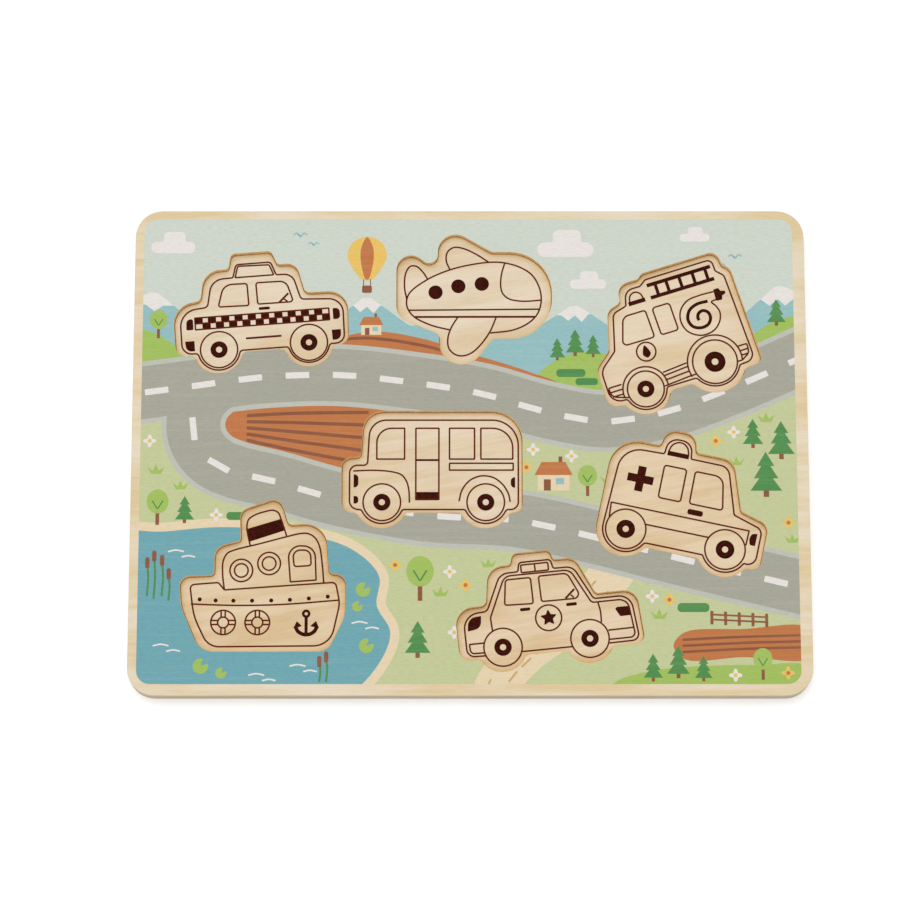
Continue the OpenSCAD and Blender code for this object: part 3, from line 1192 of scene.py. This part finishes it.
def draw_fire_engine(pen):
    front, rear = (-20.8, -14.6), (12.5, -12)
    pen.stroke(car_body([
        (-37.2, -16.6, 5.5), (*front, 9.4, 1.5), (*rear, 11.1, 1.5), (29.8, -16.4, 4), (28.9, 24.6, 3),
        (25.8, 27.8, 1.5), (25.7, 33.4, 2.5), (-5.5, 33.3, 2.5), (-8.5, 31.1, 2), (-15.6, 31.1, 4.5),
        (-17.4, 24.3, 1.2), (-24, 22.6, 3.5), (-28.7, 5.9, 2), (-37.2, -1, 6),
    ], -16.6), True)
    pen.wheel(front, 8.2)
    pen.wheel(rear, 10, 3.1, 4.4)
    pen.stroke(arc(front, 10.2, 187, -194))
    pen.stroke(arc(rear, 12.3, 197, -211))
    pen.sweep((-15.2, 25.6), (-14.6, 27.6), (-13.4, 28.8), (-12, 29.2), (-10.6, 28.8), (-9.4, 27.6),
              (-8.9, 25.6))
    pen.bar(-16, 23.7, -8.2, 25.6)
    pen.bar(-5.6, 29.6, 24.3, 31.3)
    pen.bar(-5.6, 23.7, 24.3, 25.4)
    for x in (-1.8, 3.3, 9.4, 15.6, 21.6):
        pen.bar(x - 0.75, 25.3, x + 0.75, 29.7)
    pen.frame((-24.5, 7.1, 1.8), (-9.6, 6.9, 1.2), (-9.8, 19.9, 1.2), (-20.3, 19.9, 3.5))
    pen.frame((-6.4, 6.9, 1.2), (1.6, 6.9, 1.2), (1.5, 19.9, 1.5), (-6.6, 19.9, 1.5))
    pen.ring((-15.3, 1.6), 4.3)
    drop = [(-15.3, 4.6), (-13.7, 1.6), (-13.6, 0.2), (-15.3, -1.2), (-17, 0.2), (-16.9, 1.6)]
    pen.fill(smooth(drop, closed=True))
    pen.sweep((22, 18.9), (15, 19.1), (9.5, 18.4), (5.3, 15), (3.8, 10), (5.3, 4.9), (9.5, 1.7), (13, 1.1),
              (17, 2), (20.5, 5.2), (21.8, 9), (21, 12.3), (19.7, 14.6), (22, 15.1))
    pen.sweep((18.2, 15.5), (13, 15.6), (9, 13.8), (7.1, 10), (8.2, 6.4), (11.5, 4.7), (15, 5.2), (17, 7.8),
              (16.7, 10.6), (14.6, 12), (12.4, 11.2), (11.6, 9.4), (11.8, 8.2), width=2)
    pen.block((21.9, 14.4, 0.5), (24.7, 14.2, 0.6), (25.2, 16, 0.3), (27, 16.6, 0.4), (27.1, 17.8, 0.4),
              (25.2, 18.3, 0.3), (24.5, 19.9, 0.6), (22.1, 19.8, 0.6))
    pen.line((-30.5, -9.4), (-36.4, -9.4, 0.5), (-36.7, -13.5, 3.5), (-29.6, -16, 0.5), (-28.9, -16))
    for y, x0, x1 in ((-11.6, -36.6, -30.9), (-13.8, -35.8, -31)):
        pen.line((x0, y), (x1, y))
    pen.line((24.6, -8.3), (28.6, -8.3, 0.5), (28.4, -12.5, 3), (24.5, -14.9, 1), (22.3, -14.9))
    for y, x1 in ((-10.6, 28.3), (-12.7, 27.6)):
        pen.line((24.7, y), (x1, y))
    for left, right in ((-9.7, -8.7), (-11.3, -10.4), (-13.4, -12.6), (-15.8, -14.9)):
        pen.line((-11.2, left), (0.2, right))
    pen.line((0.1, -14.9), (2.9, -14.9))
    pen.line((-11, -15.8), (-12.6, -15.9))


def draw_bus(pen):
    wheels = [(-23.6, -13.6), (22.3, -13.6)]
    pen.stroke(car_body([
        (-37.9, -16.9, 4), (*wheels[0], 9.6, 1.5), (*wheels[1], 9.6, 1.5), (36.7, -16.9, 3.5),
        (36.8, 23.6, 11.5), (-28.9, 23.6, 7.5), (-30, 3.1, 1.8), (-37.9, 3.1, 3.5),
    ], -16.9), True)
    pen.frame((-25.9, 5.9, 0.2), (-13.6, 5.9, 0.2), (-13.6, 19.9, 0.2), (-25.9, 19.9, 6.5))
    pen.window(-8.6, -12.4, 1.6, 19.9)
    pen.bar(-8.6, 5, 1.6, 5.9)
    pen.bar(-8.6, -12.5, 1.6, -9)
    pen.window(6.3, 5.9, 17.4, 19.9)
    pen.frame((20.2, 5.9, 0.2), (34.3, 5.9, 0.2), (34.4, 19.9, 9), (20.2, 19.9, 0.2))
    pen.window(6.3, 0.9, 34.5, 4)
    pen.sweep((-36.3, 0.5), (-30, 0.8), (-24, 0.7), (-19, 0.1), (-15, -1.2), (-12.8, -4), (-11.7, -8),
              (-11.4, -13.8))
    pen.sweep((10.5, -13.2), (11.8, -8.2), (15, -4), (19, -2), (22, -1.7), (26, -2.6), (30, -5.8),
              (32.4, -10), (33.1, -13.4))
    pen.block((-36.1, -6.9, 0.2), (-34, -6.9, 1.8), (-34, -1, 1.8), (-36.1, -1, 0.2))
    pen.block((-36.1, -14.2, 0.2), (-34, -14.2, 1.3), (-34, -10.8, 1.3), (-36.1, -10.8, 0.2))
    pen.block((33.4, -7.1, 1.8), (35.3, -7.1, 0.2), (35.3, -2.3, 0.2), (33.4, -2.3, 1.8))
    for wheel in wheels:
        pen.wheel(wheel, 8.3)


def draw_ambulance(pen):
    wheels = [(-23, -16.6), (21.6, -16.6)]
    pen.stroke(car_body([
        (*wheels[0], 10.2, 2, 1), (*wheels[1], 10.2, 1.2), (35.8, -21.2, 4), (35.9, -4.6, 3.5),
        (22.6, -0.6, 1.5), (16.1, 20.2, 5), (-0.9, 20.3, 0.8), (-1.6, 27.7, 5), (-12.1, 27.7, 5),
        (-12.9, 20.2, 0.8), (-31.6, 19.6, 10),
    ], -21), True)
    pen.sweep((-11.2, 22), (-10.3, 24.6), (-8.5, 26.2), (-6.7, 26.6), (-4.9, 26.2), (-3.2, 24.6), (-2.3, 22))
    pen.bar(-11.6, 19.9, -2, 22)
    pen.bar(-26.9, 5.1, -15.3, 8.7)
    pen.bar(-22.9, 1.2, -19.3, 5.1)
    pen.bar(-22.9, 8.7, -19.3, 12.6)
    pen.window(-11.8, 0.3, -1.8, 15.2, 1.2)
    pen.frame((2.2, 0.4, 1.2), (17.2, 0.4, 1.2), (14.6, 15.2, 4.5), (2.1, 15.2, 1.2))
    pen.bar(2.1, -4.4, 9, -1.9, 1)
    pen.line((-31.2, -12.7), (-31.6, -6.1, 0.2), (30.4, -6.2, 0.2), (30.2, -12.9))
    pen.line((-14.8, -12.8), (13.6, -12.8))
    pen.block((31.8, -12.4, 0.8), (34.2, -12.4, 0.2), (34.3, -6.8, 0.2), (31.6, -7.2, 2), (31.2, -10, 1.2))
    for wheel in wheels:
        pen.wheel(wheel, 8.9, 2.75, 3.8)


def draw_boat(pen):
    pen.frame((-30.2, -5.7, 1.9), (-28.4, -19.6, 27), (-21.8, -33.3, 7.5), (31.5, -32.8, 9),
              (35.7, -14, 12), (33.8, -4.6, 2), (-15, -8, 0.8), (-17.7, -4.7, 1.6))
    pen.sweep((-29.6, -14.3), (-10, -14.9), (10, -14.5), (35, -12.6))
    for rivet in ((-25.8, -12.2), (-18.8, -12.7), (-11, -12.8), (-2.8, -12.8), (5.6, -12.7), (13.8, -12.4),
                  (22.1, -11.8), (30.4, -11)):
        pen.dot(rivet, 0.9)
    pen.sweep((-15.1, -7.6), (-15.9, -1), (-15.7, 5), (-14, 8.3), (-11, 9.8), (0, 12.6), (12, 15.8),
              (18, 17.2), (21.5, 17.2), (24.6, 15.3), (26.6, 11.5), (27.8, 4), (28.6, -4.9))
    for porthole in ((-7.7, 0.7), (4.5, 3.8)):
        pen.ring(porthole, 5)
        pen.ring(porthole, 3)
    pen.frame((13.9, -4.4, 0.2), (25.2, -3.6, 0.2), (24.6, 11.4, 5.2), (12.6, 12, 5.2))
    pen.frame((15.5, 2.4, 1.2), (23, 2.9, 1.2), (22.6, 9.8, 3), (14.8, 9.8, 3))
    pen.sweep((-3.9, 11.8), (-5, 16.5), (-5.5, 20), (-4.8, 23.5), (-2.2, 25.5), (2, 27), (6, 27.7),
              (8.3, 26.6), (9.5, 23.8), (11, 19.5), (12.1, 16))
    pen.block((-4.4, 13.5, 0.2), (11.4, 18.7, 0.2), (9.7, 23.9, 0.2), (-5.5, 19.3, 0.2))
    for x, y in ((-15.4, -22.5), (-0.4, -22.5)):
        pen.ring((x, y), 5.4)
        pen.ring((x, y), 2.4)
        for turn in (0, 90, 180, 270):
            for side in (-0.9, 0.9):
                pen.stroke(placed([(2.2, side), (5.3, side)], x, y, turn))
    pen.ring((21, -18.6), 1.3, width=1.6)
    pen.bar(20.3, -27.6, 21.7, -19.8)
    pen.sweep((16.3, -24), (17.3, -26.3), (19.3, -27.6), (21, -27.9), (22.8, -27.6), (24.8, -26.2),
              (25.8, -24), width=2.3)
    pen.block((15.3, -25.3, 0.2), (19.2, -24.1, 0.2), (16.9, -21.9, 0.2))
    pen.block((22.7, -24.1, 0.2), (26.7, -25.1, 0.2), (25.4, -21.8, 0.2))


def draw_police_car(pen):
    wheels = [(-23.3, -12.5), (15, -12.6)]
    pen.line((-31.2, -15.5), (-39.2, -15.3, 3.5), (-39.2, 3.6, 7), (-28.6, 3.9, 3), (-21.2, 20, 5.5),
             (-13.2, 20.2, 1), (-12.4, 24.2, 1.6), (1.5, 24.2, 1.6), (2.4, 20.1, 1), (11, 20, 5),
             (18.6, 4.8, 2.2), (34.8, 4.8, 6), (36.7, -15.4, 3), (23.3, -15.5))
    pen.line((-27.1, -4.8), (-27.4, 1, 3), (-19.4, 18.8, 4.5), (9.6, 18.7, 4.5), (17.5, 3.2, 2),
             (33.3, 3.2, 4.5), (35.1, -13.9, 2.2), (23.4, -13.9))
    pen.sweep((20.2, 3.2), (20.9, -1), (20.8, -6))
    pen.line((-31.4, -14.1), (-37.6, -14, 1.8), (-37.8, -9.8, 0.4), (-31.2, -9.8))
    pen.line((23.4, -9.8), (34.9, -9.7))
    pen.window(-11.7, 19.6, 0.3, 23, 0.5)
    pen.line((-5.6, 19.6), (-5.6, 23))
    pen.frame((-20.6, 5.9, 1), (-8, 5.4, 1), (-8, 17.1, 1.2), (-19.1, 17.1, 1.5))
    pen.frame((-4.3, 5.9, 1), (13.4, 5.7, 2.2), (8.2, 17.3, 3), (-4.5, 17.3, 1))
    pen.line((6.3, 6.2), (10.6, 10), width=1.3)
    pen.line((8.8, 7.6), (10, 6.2))
    pen.bar(-14.1, 2.5, -9.6, 3.9, 0.6)
    pen.bar(6.3, 2.7, 11, 4.1, 0.6)
    badge = (-2, -1.6)
    pen.ring(badge, 5.7)
    star = [polar(badge, 3.9 if i % 2 else 1.9, 54 + 36 * i) for i in range(10)]
    pen.block(*[(*point, 0.3) for point in star])
    pen.block((-37.9, -4, 0.3), (-32, -3.2, 3.5), (-31.4, 2.3, 0.3), (-37.2, 1.8, 4))
    pen.block((29.3, -4.2, 0.8), (34.2, -4.1, 0.3), (33.6, 0, 0.8), (28.4, 0.1, 0.4), (27.4, -0.6, 0.5))
    pen.line((-15, -15.3), (7, -15.4))
    for wheel in wheels:
        pen.wheel(wheel, 8.4)


class Vehicle(NamedTuple):
    """A lift-out piece: its drawing, the drawing's middle on the board in millimetres and its turn in
    degrees, and how warm its wood is, from 0 for pale to 1 for peach."""

    name: str
    draw: Callable
    x: float
    y: float
    turn: float
    warmth: float


VEHICLES = (
    Vehicle("taxi", draw_taxi, x=-93.6, y=65.2, turn=4.5, warmth=0.0),
    Vehicle("aeroplane", draw_aeroplane, x=1.0, y=69.75, turn=0.0, warmth=0.0),
    Vehicle("fire_engine", draw_fire_engine, x=93.75, y=47.85, turn=17.5, warmth=0.4),
    Vehicle("bus", draw_bus, x=-15.35, y=-10.2, turn=0.0, warmth=0.3),
    Vehicle("ambulance", draw_ambulance, x=94.6, y=-24.35, turn=-12.0, warmth=1.0),
    Vehicle("boat", draw_boat, x=-92.9, y=-55.15, turn=0.0, warmth=1.0),
    Vehicle("police_car", draw_police_car, x=36.25, y=-73.75, turn=6.0, warmth=0.9),
)

# Lines wider than this many line widths are as dark as the filled shapes
BOLD = 1.5


def seen_on_piece(points, vehicle):
    """A drawing's points on the board. They are laid out at the board's face, as the camera sees it,
    and carried along the line of sight to the lower face of the piece."""
    stage = bpy.context.scene.puzzle_stage
    eye_x = stage.aim_x / MM
    eye_y = (stage.aim_y - stage.distance * math.sin(stage.tilt)) / MM
    rise = stage.distance * math.cos(stage.tilt)
    eye = Vector((eye_x, eye_y))
    spread = (rise + FACE_Z - PIECE_Z) / rise
    on_face = placed(points, vehicle.x, vehicle.y, vehicle.turn)
    return [eye + spread * (point - eye) for point in on_face]


def drawing(vehicle, high):
    """A drawing as one flat mesh. Each mark lies a hair below the one before, so that no two tops meet."""
    pen = Pen()
    vehicle.draw(pen)
    low = high - sizes().line_t
    hair = sizes().line_t / (2 * len(pen.marks))
    parts = []
    for i, (points, closed, width) in enumerate(pen.marks):
        points = seen_on_piece(points, vehicle)
        top = high - i * hair
        if width:
            part = pen_stroke(points, closed, width * sizes().line_w, low, top)
        else:
            part = plate(points, low, top)
        dress(part, ink("line" if width and width < BOLD else "ink"))
        parts.append(part)
    return joined(parts)


def edge_pick(face):
    """0 for a flat face and 1 for the cut edge."""
    return 0 if is_flat(face) else 1


def blank(vehicle):
    """A vehicle's bare piece, with its cut edge and its rim, browned by the laser and darkened with painted
    shade from the recess walls.
    """
    obj = cad_copy(vehicle.name)
    swell_walls(obj, sizes().swell)
    lower_top(obj, sizes().line_t)
    round_rims(obj, sizes().edge_round)
    burn_shade_rim(obj)
    dress(obj, piece_face(vehicle.warmth), cut_edge(), pick=edge_pick)
    return obj


class PUZZLE_OT_vehicles(bpy.types.Operator):
    """Model the vehicle pieces, the drawings on them and the drawings in their recesses"""

    bl_idname = "puzzle.vehicles"
    bl_label = "Vehicle pieces"

    def execute(self, context):
        for vehicle in VEHICLES:
            name = vehicle.name
            body = f"{name}_piece"
            settle(blank(vehicle), f"{name}_blank", body, "piece_ply", name)
            settle(drawing(vehicle, PIECE_Z), f"{name}_drawing", body, "piece_ply")
            settle(drawing(vehicle, RECESS_Z), f"{name}_recess_drawing", "board", "back_ply")
        return {"FINISHED"}


# Stage

# The floor's size in metres, its colour, and how much of its own white it adds for the camera alone
FLOOR_SIZE = 6.0
FLOOR_WHITE = (0.93, 0.93, 0.93)
FLOOR_GLOW = 0.25
# Where the lamp hangs and how wide it is, in metres
LAMP_PLACE = (-0.5, 1.5, 4.8)
LAMP_SIZE = 3.6


def stage_floor():
    """A pale floor that keeps the board's shadow and reads as white to the camera."""
    bpy.ops.object.select_all(action="DESELECT")
    bpy.ops.mesh.primitive_plane_add(size=FLOOR_SIZE)
    floor = bpy.context.object
    floor.name = "stage_floor"
    material = bpy.data.materials.new("stage_floor")
    material.use_nodes = True
    tree = material.node_tree
    shader = tree.nodes["Principled BSDF"]
    shader.inputs["Base Color"].default_value = (*FLOOR_WHITE, 1.0)
    shader.inputs["Roughness"].default_value = 0.9
    path = tree.nodes.new("ShaderNodeLightPath")
    glow = tree.nodes.new("ShaderNodeMath")
    glow.operation = "MULTIPLY"
    glow.inputs[1].default_value = FLOOR_GLOW
    shader.inputs["Emission Color"].default_value = (*WHITE, 1.0)
    tree.links.new(path.outputs["Is Camera Ray"], glow.inputs[0])
    tree.links.new(glow.outputs["Value"], shader.inputs["Emission Strength"])
    floor.data.materials.append(material)


def soft_light(name, place, size, power):
    """A large square lamp that faces the board's middle."""
    bpy.ops.object.light_add(type="AREA", location=place)
    lamp = bpy.context.object
    lamp.name = name
    lamp.data.shape = "SQUARE"
    lamp.data.size = size
    lamp.data.energy = power
    lamp.rotation_euler = (-Vector(place)).to_track_quat("-Z", "Y").to_euler()


class PUZZLE_OT_stage(bpy.types.Operator):
    """Set up the floor, the light and the camera"""

    bl_idname = "puzzle.stage"
    bl_label = "Stage"

    def execute(self, context):
        stage = context.scene.puzzle_stage
        stage_floor()
        soft_light("far_light", LAMP_PLACE, LAMP_SIZE, stage.key_power)
        world = bpy.data.worlds.new("room")
        world.use_nodes = True
        background = world.node_tree.nodes["Background"]
        background.inputs["Color"].default_value = (*WHITE, 1.0)
        background.inputs["Strength"].default_value = stage.sky_strength
        context.scene.world = world
        bpy.ops.object.camera_add()
        camera = context.object
        camera.name = "camera"
        camera.data.lens = stage.lens
        camera.rotation_euler = (stage.tilt, 0, 0)
        camera.location = (stage.aim_x, stage.aim_y - stage.distance * math.sin(stage.tilt),
                           FACE_Z + stage.distance * math.cos(stage.tilt))
        context.scene.camera = camera
        context.scene.view_settings.view_transform = "Standard"
        return {"FINISHED"}


# Panel and registration

STEPS = (
    PUZZLE_OT_stage, PUZZLE_OT_boards, PUZZLE_OT_land, PUZZLE_OT_dashes, PUZZLE_OT_furrows,
    PUZZLE_OT_trees, PUZZLE_OT_houses, PUZZLE_OT_air, PUZZLE_OT_lakeside, PUZZLE_OT_garden,
    PUZZLE_OT_vehicles,
)


class PUZZLE_PT_panel(bpy.types.Panel):
    """Sidebar panel with the puzzle's steps and properties"""

    bl_idname = "PUZZLE_PT_panel"
    bl_label = "Inset puzzle"
    bl_space_type = "VIEW_3D"
    bl_region_type = "UI"
    bl_category = "Puzzle"

    def draw(self, context):
        for step in STEPS:
            self.layout.operator(step.bl_idname)
        for group in (context.scene.puzzle_sizes, context.scene.puzzle_colours, context.scene.puzzle_stage):
            column = self.layout.column()
            for name in group.__annotations__:
                column.prop(group, name)


CLASSES = (PuzzleSizes, PuzzleColours, PuzzleStage, *STEPS, PUZZLE_PT_panel)


def register():
    for item in CLASSES:
        bpy.utils.register_class(item)
    bpy.types.Scene.puzzle_sizes = PointerProperty(type=PuzzleSizes)
    bpy.types.Scene.puzzle_colours = PointerProperty(type=PuzzleColours)
    bpy.types.Scene.puzzle_stage = PointerProperty(type=PuzzleStage)


def unregister():
    del bpy.types.Scene.puzzle_sizes
    del bpy.types.Scene.puzzle_colours
    del bpy.types.Scene.puzzle_stage
    for item in reversed(CLASSES):
        bpy.utils.unregister_class(item)


def main():
    register()
    for step in STEPS:
        group, name = step.bl_idname.split(".")
        getattr(getattr(bpy.ops, group), name)()


if __name__ == "__main__":
    main()
